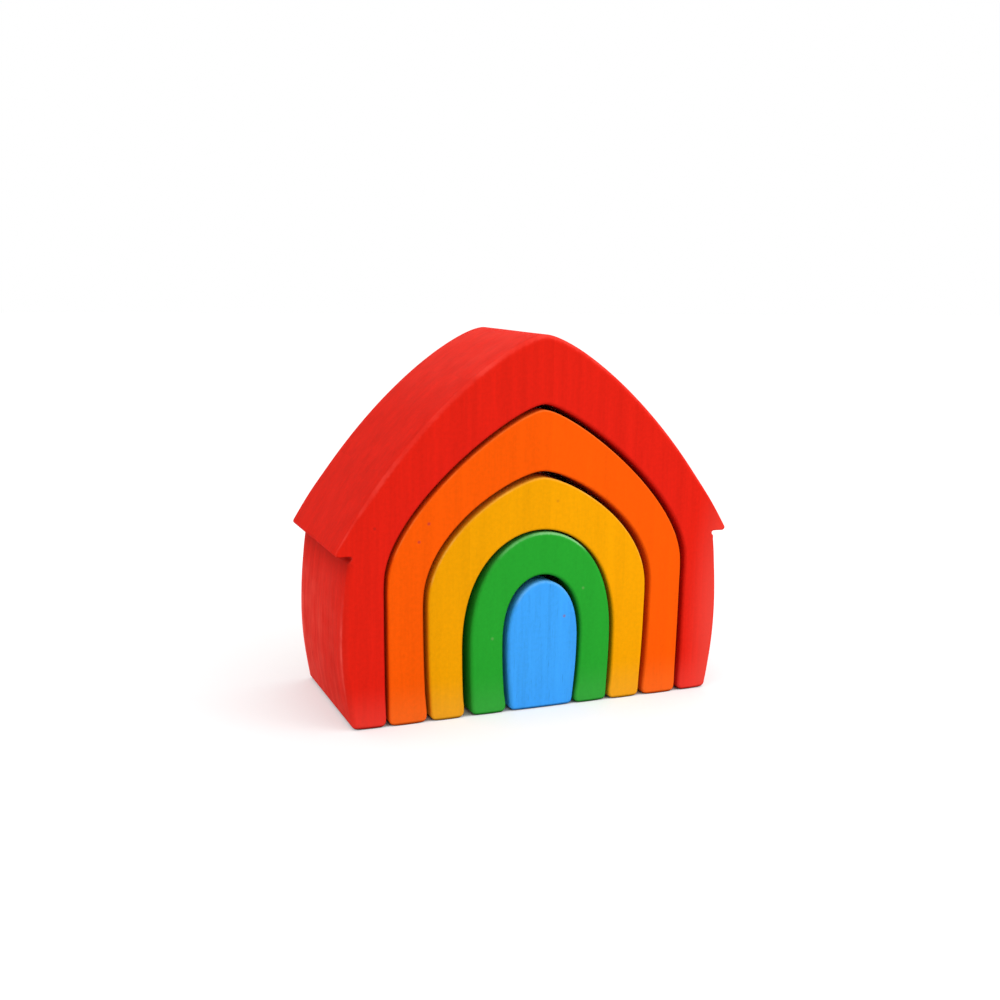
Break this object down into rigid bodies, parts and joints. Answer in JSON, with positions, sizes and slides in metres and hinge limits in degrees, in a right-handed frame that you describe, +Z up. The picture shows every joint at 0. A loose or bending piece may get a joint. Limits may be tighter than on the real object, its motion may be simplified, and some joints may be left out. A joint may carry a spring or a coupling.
{
  "type": "nesting toy house",
  "caption": "Wooden stacking house: gabled and round-headed arches in rainbow colours that slide out of one another, nested round a solid arched door block.",
  "frame": {"origin": "on the ground under the middle of the house", "axes": "+X to the right along the front, +Y from the front to the back, +Z up; the front faces -Y"},
  "size_m": [0.1458, 0.06, 0.13],
  "materials": {
    "red_stained_wood": "satin colour stain, fine grain showing through",
    "orange_stained_wood": "satin colour stain, fine grain showing through",
    "yellow_stained_wood": "satin colour stain, fine grain showing through",
    "green_stained_wood": "satin colour stain, fine grain showing through",
    "blue_stained_wood": "satin colour stain, fine grain showing through"
  },
  "bodies": {
    "red_house": {"red_house_arch": "red_stained_wood"},
    "orange_arch": {"orange_arch": "orange_stained_wood"},
    "yellow_arch": {"yellow_arch": "yellow_stained_wood"},
    "green_arch": {"green_arch": "green_stained_wood"},
    "blue_door": {"blue_door": "blue_stained_wood"}
  },
  "joints": [
    {"name": "orange_slide", "type": "slide", "parent": "red_house", "child": "orange_arch", "axis": [0, -1, 0], "range_m": [-0.068, 0.068]},
    {"name": "yellow_slide", "type": "slide", "parent": "orange_arch", "child": "yellow_arch", "axis": [0, -1, 0], "range_m": [-0.068, 0.068]},
    {"name": "green_slide", "type": "slide", "parent": "yellow_arch", "child": "green_arch", "axis": [0, -1, 0], "range_m": [-0.068, 0.068]},
    {"name": "door_slide", "type": "slide", "parent": "green_arch", "child": "blue_door", "axis": [0, -1, 0], "range_m": [-0.068, 0.068]}
  ]
}
